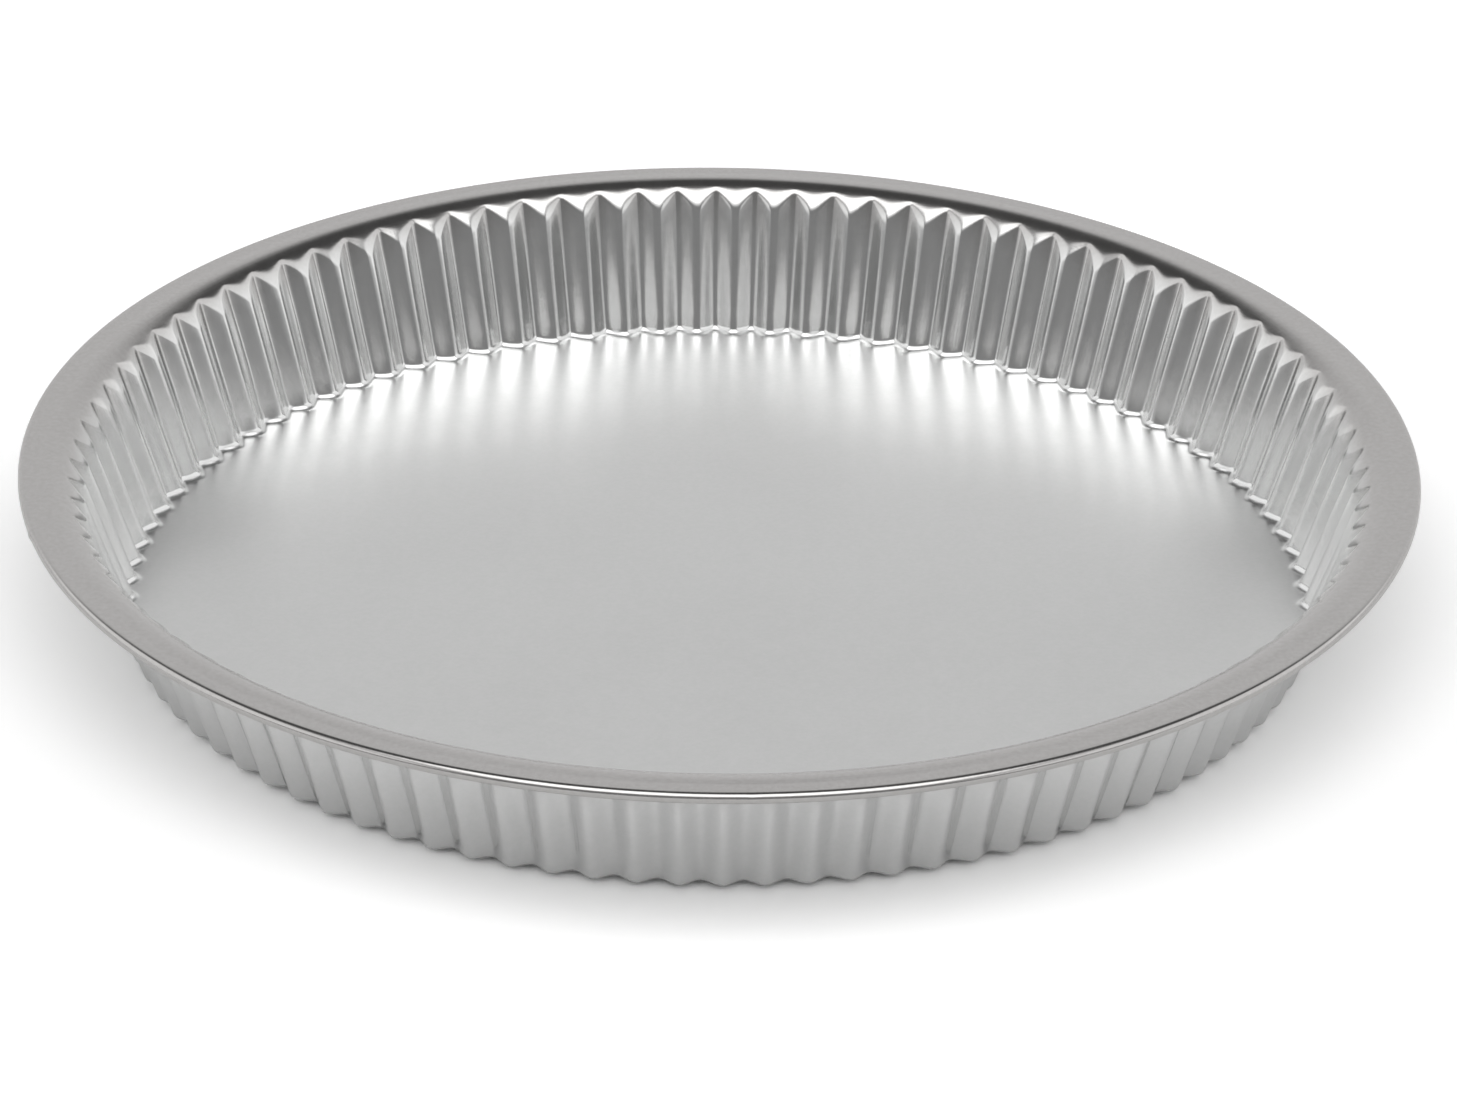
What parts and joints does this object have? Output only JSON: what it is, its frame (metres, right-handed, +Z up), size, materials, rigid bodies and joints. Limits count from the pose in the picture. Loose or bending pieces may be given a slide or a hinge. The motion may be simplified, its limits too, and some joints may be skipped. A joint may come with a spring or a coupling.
{
  "type": "tart pan",
  "caption": "Shallow round baking dish with a flat fixed base, a flared fluted wall, a rounded shoulder and a narrow flat flange whose edge is curled over a stiffening wire.",
  "frame": {"origin": "centre of the flat underside, on the plane that the pan rests on", "axes": "+Z up out of the dish, along the pan's axis; +X and +Y in the plane of the base, where the pan looks the same every flute"},
  "size_m": [0.3, 0.2998, 0.0335],
  "materials": {
    "tinned_sheet": "satin, fine-grained tinned surface with faint smudges and draw marks",
    "drawn_wire": "drawn bright steel wire"
  },
  "bodies": {
    "root": {"pan": "tinned_sheet", "rim_wire": "drawn_wire"}
  },
  "joints": []
}
